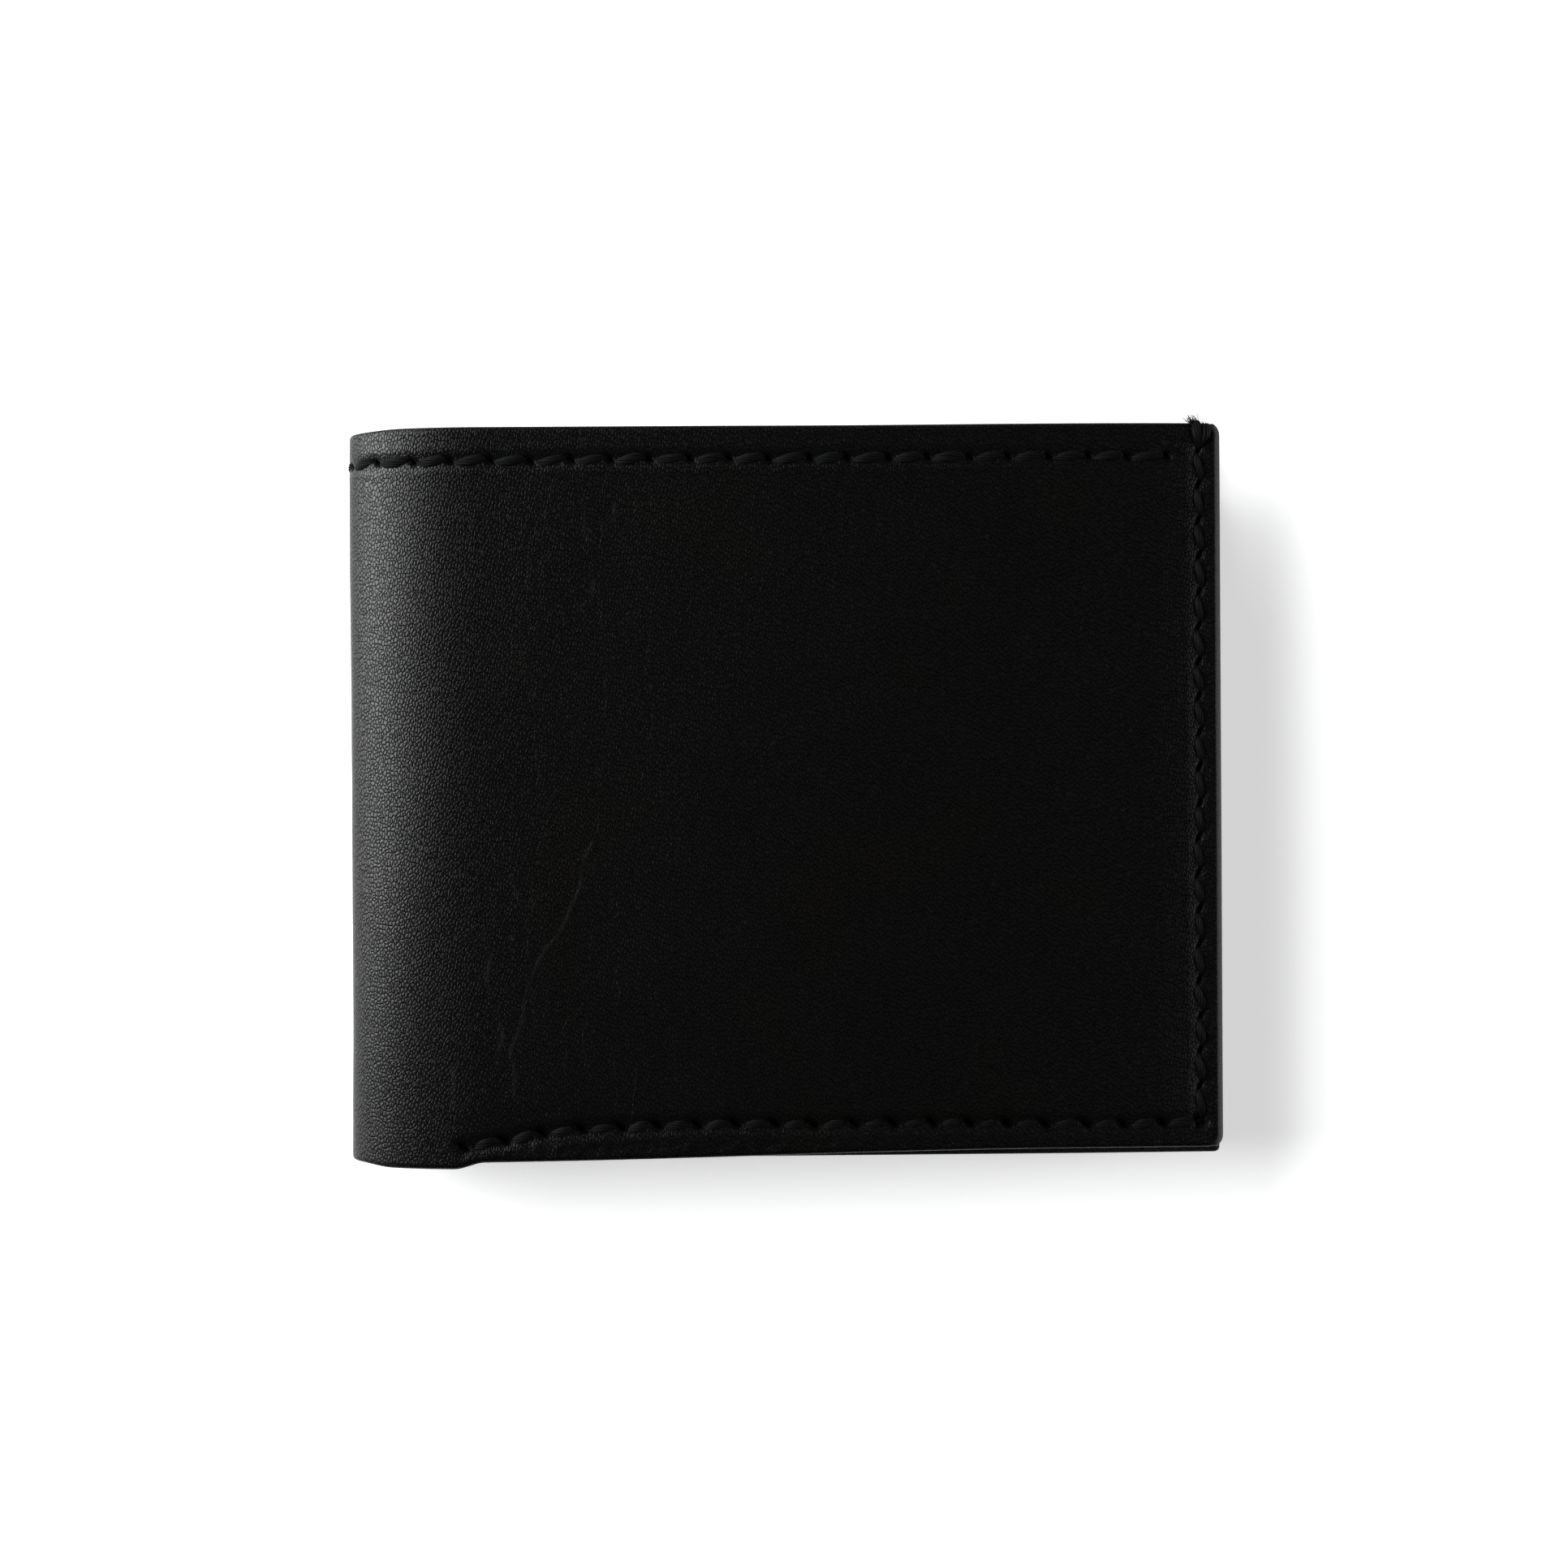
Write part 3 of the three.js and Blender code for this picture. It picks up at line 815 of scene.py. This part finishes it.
def build_pocket(half, row):
    """A leather pocket piece that follows its layer of the half, and gapes a little at its mouth."""
    thickness, mouth = LAYERS[row][2], POCKET_MOUTHS[row]
    co, faces = pocket_slab(row)
    x, y, depth = co.T
    t = t_of_x(x)
    gape = 0.25 * smooth(mouth - 9, mouth, y) * smooth(FREE_X, FREE_X - 12, x)
    gape = gape * smooth(POCKET_INNER_X, -30, x)
    inset = layer_inset(row, t, y, x) + 0.06 * waves(x, y, 31, 26) + gape + depth
    px, pz, _, _ = fold(half, t, inset)
    rounding = np.minimum(depth, thickness - depth) / (thickness / 2)
    border = np.minimum(np.abs(y - mouth), np.abs(x - POCKET_INNER_X))
    values = {
        "edge": np.clip(rounding * 1.4, 0, 1) * (border < 1.0),
        "hole": np.zeros(len(co)),
        "mouth": mouth - y,
    }
    if half == "front":
        faces = [f[::-1] for f in faces]
    verts, uvs = np.stack([px, y, pz], -1), np.stack([t, y], -1)
    obj = new_object(f"{row}_card_pocket_{half}_half", verts, faces, uvs, values)
    finish_piece(obj, POCKET, [f"{row}_card_pocket_{half}"])
    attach(obj, f"{half}_half")


for half in ("front", "back"):
    for row in ("upper", "middle", "lower"):
        build_pocket(half, row)


# ---------------------------------------------------------------- thread
class Tubes:
    """Collects thin tubes and spun strands into one mesh."""

    def __init__(self):
        self.verts, self.faces, self.uvs, self.count = [], [], [], 0

    def tube(self, centre, across, up, radius, sides=6):
        """A closed tube along centre (n by 3); across and up (n by 3) span its section."""
        n = len(centre)
        angles = (np.arange(sides) * 2 * math.pi / sides)[None, :, None]
        circle = np.cos(angles) * across[:, None] + np.sin(angles) * up[:, None]
        ring = centre[:, None] + circle * radius[:, None, None]
        lengths = np.concatenate([[0], np.cumsum(np.linalg.norm(np.diff(centre, axis=0), axis=1))])
        around = np.abs(np.arange(sides) / sides * 2 - 1)
        start = self.count
        self.verts.append(ring.reshape(-1, 3))
        uv = np.stack(np.broadcast_arrays(lengths[:, None] + start * 0.37, around[None]), -1)
        self.uvs.append(uv.reshape(-1, 2))
        index = start + np.arange(n * sides).reshape(n, sides)
        wrapped = np.concatenate([index, index[:, :1]], 1)
        quads = np.stack([wrapped[:-1, :-1], wrapped[:-1, 1:], wrapped[1:, 1:], wrapped[1:, :-1]], -1)
        self.faces += quads.reshape(-1, 4).tolist()
        self.faces += [index[0][::-1].tolist(), index[-1].tolist()]
        self.count += n * sides

    def stitch(self, a, b, up, across, slant, rise, half_width, margin=0.05, plies=9, steps=13):
        """A spun stitch from hole a to hole b: its strands twist round it and dive into both holes."""
        k = np.linspace(0, 1, steps)[:, None]
        full = np.sin(math.pi * k) ** 0.42
        lift = -0.7 + (0.7 + rise) * full
        sway = slant * np.sin(math.pi * (k - 0.5))
        centre = a + (b - a) * (margin + (1 - 2 * margin) * k) + up * lift + across * sway
        body = 0.34 + 0.66 * np.sin(math.pi * k) ** 0.7
        all_across, all_up = np.broadcast_to(across, centre.shape), np.broadcast_to(up, centre.shape)
        for ply in range(plies):
            angle = 2 * math.pi * ply / plies + 2.3 * k + RNG.uniform(-0.1, 0.1)
            strand = centre + body * (
                across * np.cos(angle) * half_width * 0.72 + up * np.sin(angle) * half_width * 0.4
            )
            radius = (half_width * 0.3 * body * RNG.uniform(0.85, 1.15)).ravel()
            self.tube(strand, all_across, all_up, radius)

    def fibre(self, start, direction, up, length, thick=0.032):
        """A loose fibre that curls away from the thread."""
        k = np.linspace(0, 1, 7)[:, None]
        curl = RNG.uniform(-0.5, 0.5)
        side = np.cross(direction, up)
        centre = start + direction * length * k + side * curl * length * k ** 2
        centre = centre + up * length * RNG.uniform(-0.1, 0.25) * np.sin(2.5 * k)
        radius = thick * (1 - 0.5 * k.ravel())
        self.tube(centre, np.broadcast_to(side, centre.shape), np.broadcast_to(up, centre.shape), radius, 3)

    def object(self, name):
        """The finished object."""
        verts = np.concatenate(self.verts)
        verts[:, 2] = np.maximum(verts[:, 2], 0.01)  # thread under the wallet is pressed flat
        return new_object(name, verts, self.faces, np.concatenate(self.uvs))


def unit(v):
    """The vector at length 1."""
    return v / np.linalg.norm(v)


def face_frame(half, t, y, inset=0.0, lift=0.0, flip=1):
    """A point of a face of the half, and the direction that stands out of it."""
    px, pz, nx, nz = (float(c) for c in fold(half, t, inset))
    up = np.array([nx, 0, nz]) * flip
    return np.array([px, y, pz]) + np.array([nx, 0, nz]) * lift, up


def sew(
    tubes, half, holes, inset, rise, half_width, slant, flip=1, plies=9, steps=13, groove=0.0, margin=0.05,
):
    """Stitches from hole to hole on one face of the half.

    inset is a number or a function of y, flip is 1 on the outer side of a layer and -1 on its inner
    side, groove is how far the holes lie in, and margin is the share of a pitch that a stitch stops
    short of its holes.
    """
    inset_at = inset if callable(inset) else (lambda _: inset)
    for (t0, y0), (t1, y1) in zip(holes[:-1], holes[1:]):
        ym = (y0 + y1) / 2
        a, _ = face_frame(half, t0, y0, inset_at(y0), groove, flip)
        b, _ = face_frame(half, t1, y1, inset_at(y1), groove, flip)
        middle, up = face_frame(half, (t0 + t1) / 2, ym, inset_at(ym), groove, flip)
        bulge = float(np.dot(middle - (a + b) / 2, up))
        along = unit(b - a)
        across = unit(np.cross(up, along))
        up = unit(np.cross(along, across))
        thick = half_width * RNG.uniform(0.85, 1.12)
        lean = slant * RNG.uniform(0.7, 1.3)
        tubes.stitch(a, b, up, across, lean, rise + bulge, thick, margin, plies, steps)
        for _ in range(3 if flip > 0 else 0):
            shift = along * RNG.uniform(-1.8, 1.8)
            spot = (a + b) / 2 + shift + across * RNG.uniform(-0.5, 0.5) + up * rise
            way = unit(along * RNG.uniform(-1, 1) + across * RNG.uniform(-1, 1))
            tubes.fibre(spot, way, up, RNG.uniform(0.5, 1.3))


def inner_face(y):
    """Inset of the innermost face at the sewn free edge, which steps down at each pocket mouth."""
    for row in ("lower", "middle", "upper"):
        if y < POCKET_MOUTHS[row]:
            return sewn_inset(row, y) + LAYERS[row][2]
    layer = "divider" if y < DIVIDER_TOP else "lining"
    return LAYERS[layer][1] + LAYERS[layer][2]


def build_threads(half):
    lines = LINES[half]
    turn = 1 if half == "front" else -1
    top = Tubes()
    sew(top, half, lines["top"], 0.0, 0.02, 0.66, 0.30 * turn, groove=-0.24)
    sew(top, half, lines["top"], 1.9, 0.2, 0.45, 0.2, flip=-1, plies=3, steps=8)
    thread = top.object(f"top_edge_thread_{half}_half")
    finish_piece(thread, THREAD, [f"top_edge_thread_{half}"])
    bend(thread)

    seam = Tubes()
    for name, rise, half_width, slant in (("side", 0.08, 0.52, 0.26), ("bottom", -0.06, 0.62, 0.24)):
        margin = FURROWS[name][5]
        sew(seam, half, lines[name], 0.0, rise, half_width, slant * turn, groove=-0.46, margin=margin)
    for name in ("side", "bottom"):
        sew(seam, half, lines[name], inner_face, 0.35, 0.5, 0.2, flip=-1, plies=4, steps=9)
    finish_wrap(seam, half)
    thread = seam.object(f"seam_thread_{half}_half")
    finish_piece(thread, THREAD, [f"seam_thread_{half}"])
    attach(thread, f"{half}_half")


# The turns over the top edge at the free corner: lean, number of plies, rise, and loose fibres.
WRAPS = ((-0.35, 8, 0.08, 44), (1.0, 5, -0.3, 10))


def finish_wrap(seam, half):
    """The last turns of the side seam go over the top edge, and end frayed."""
    t0, y0 = LINES[half]["side"][-1]
    for lean, plies, rise, fibres in WRAPS:
        top = HALF_WIDTH + rise
        # share of the lean, y, and inset from the outer face
        route = [
            (0.0, y0, 0.9), (0.45, y0 + 1.1, 0.1), (0.8, top - 1.2, 0.05),
            (1.0, top, 0.4), (1.0, top + 0.1, 0.9), (1.0, top, 1.5),
            (0.8, top - 1.2, 1.95), (0.45, y0 + 0.8, 1.95), (0.0, y0, 1.2),
        ]
        points = np.array([face_frame(half, t0 + lean * part, y, inset)[0] for part, y, inset in route])
        fine = np.linspace(0, len(points) - 1, 30)
        low = np.clip(fine.astype(int), 0, len(points) - 2)
        part = (fine - low)[:, None]
        path = points[low] * (1 - part) + points[low + 1] * part
        for _ in range(2):
            path[1:-1] = (path[:-2] + 2 * path[1:-1] + path[2:]) / 4
        heading = np.gradient(path, axis=0)
        heading /= np.linalg.norm(heading, axis=1)[:, None]
        across = np.broadcast_to((1.0, 0.0, 0.0), path.shape)
        up = np.cross(across, heading)
        k = np.linspace(0, 1, len(path))[:, None]
        body = 0.45 + 0.55 * np.sin(math.pi * np.clip(k * 1.1, 0, 1)) ** 0.6
        for ply in range(plies):
            angle = 2 * math.pi * ply / plies + 3.0 * k
            strand = path + body * (across * np.cos(angle) * 0.42 + up * np.sin(angle) * 0.26)
            seam.tube(strand, across, up, (0.25 * body).ravel())
        for _ in range(fibres):
            spot = path[RNG.integers(9, 16)] + np.array([RNG.uniform(-0.7, 0.3), 0.15, 0.15])
            way = unit(np.array([RNG.uniform(-1, 0.3), RNG.uniform(0.0, 0.8), RNG.uniform(-0.3, 0.5)]))
            seam.fibre(spot, way, np.array([0, 0, 1.0]), RNG.uniform(0.7, 1.8), 0.05)


def build_pocket_threads(half):
    """Threads that hold the card pockets to the divider."""
    line = Tubes()
    holes = hole_line((t_of_x(EDGE_LINE_X), -40.5), (t_of_x(EDGE_LINE_X), 28.2), STITCH_PITCH["inner"], 41)

    def face(y):
        for row in ("lower", "middle", "upper"):
            if y < POCKET_MOUTHS[row]:
                return LAYERS[row][0] + LAYERS[row][2]
        return LAYERS["divider"][0] + LAYERS["divider"][2]

    sew(line, half, holes, face, 0.3, 0.5, 0.2, flip=-1, plies=5)
    sew(line, half, holes, LAYERS["divider"][0], 0.2, 0.4, 0.2, flip=1, plies=3, steps=8)
    thread = line.object(f"pocket_edge_thread_{half}_half")
    finish_piece(thread, THREAD, [f"pocket_edge_thread_{half}"])
    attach(thread, f"{half}_half")
    for row in ("upper", "middle"):
        base = Tubes()
        y = POCKET_MOUTHS[row] - POCKET_DEPTH + 2
        holes = hole_line((t_of_x(-35), y), (t_of_x(45), y), STITCH_PITCH["inner"], 43)
        sew(base, half, holes, LAYERS["divider"][0], 0.2, 0.4, 0.2, flip=1, plies=3, steps=8)
        thread = base.object(f"{row}_pocket_base_thread_{half}_half")
        finish_piece(thread, THREAD, [f"{row}_pocket_base_thread_{half}"])
        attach(thread, f"{half}_half")


def build_tip_stitch():
    """The stitch that crosses the tip of the fold."""
    tip = Tubes()
    t0, y0 = LINES["front"]["top"][0]
    t1, y1 = LINES["back"]["top"][0]
    for inset, flip, width in ((0.0, 1, 0.6), (1.9, -1, 0.4)):
        a, _ = face_frame("front", t0, y0, inset, -0.30 * (flip > 0))
        b, _ = face_frame("back", t1, y1, inset, -0.30 * (flip > 0))
        up = np.array([-1.0, 0, 0]) * flip
        across = unit(np.cross(up, unit(b - a)))
        tip.stitch(a, b, up, across, 0.2, 0.4 if flip > 0 else 0.15, width)
    thread = tip.object("top_edge_thread_at_fold")
    finish_piece(thread, THREAD, ["top_edge_thread_spine"])
    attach(thread, "spine")


for half in ("front", "back"):
    build_threads(half)
    build_pocket_threads(half)
build_tip_stitch()

# ---------------------------------------------------------------- stage, light and camera
FLOOR_HALF_SIZE = 3.0
FLOOR_DROP = 0.00003  # keeps the floor clear of the back cover


def make_floor():
    mesh = bpy.data.meshes.new("floor")
    far = FLOOR_HALF_SIZE
    corners = [(-far, -far, 0), (far, -far, 0), (far, far, 0), (-far, far, 0)]
    mesh.from_pydata(corners, [], [(0, 1, 2, 3)])
    floor = bpy.data.objects.new("floor", mesh)
    floor.location.z = -FLOOR_DROP
    bpy.context.scene.collection.objects.link(floor)
    pale, _, shader = material("pale_floor", Roughness=0.9, Specular_IOR_Level=0.1)
    shader.inputs["Base Color"].default_value = (0.9, 0.9, 0.9, 1)
    shader.inputs["Emission Color"].default_value = (1, 1, 1, 1)
    shader.inputs["Emission Strength"].default_value = 0.45
    mesh.materials.append(pale)


def area_light(name, place, size_xy, power, colour=(1, 1, 1)):
    """A rectangular light that faces the wallet."""
    data = bpy.data.lights.new(name, "AREA")
    data.shape = "RECTANGLE"
    data.size, data.size_y = size_xy
    data.energy = power
    data.color = colour
    light = bpy.data.objects.new(name, data)
    light.location = place
    light.rotation_mode = "QUATERNION"
    light.rotation_quaternion = (-Vector(place)).to_track_quat("-Z", "Y")
    bpy.context.scene.collection.objects.link(light)


def make_world():
    world = bpy.data.worlds.new("studio")
    world.use_nodes = True
    background = world.node_tree.nodes["Background"]
    background.inputs["Color"].default_value = (1, 1, 1, 1)
    background.inputs["Strength"].default_value = 0.035
    bpy.context.scene.world = world
    bpy.context.scene.view_settings.view_transform = "Standard"


def make_camera():
    """Straight above the wallet."""
    data = bpy.data.cameras.new("camera")
    data.sensor_width = 36.0
    data.lens = 59.0
    data.clip_start = 0.01
    camera = bpy.data.objects.new("camera", data)
    camera.location = (0.0, 0.0012, 0.334)
    camera.rotation_euler = (0, 0, math.radians(-0.3))
    bpy.context.scene.collection.objects.link(camera)
    bpy.context.scene.camera = camera


make_floor()
area_light("key", (-1.12, 0.52, 0.62), (1.35, 1.1), 50, (0.97, 1.0, 0.985))
area_light("fill", (1.2, -0.1, 0.5), (1.2, 0.8), 9)
make_world()
make_camera()
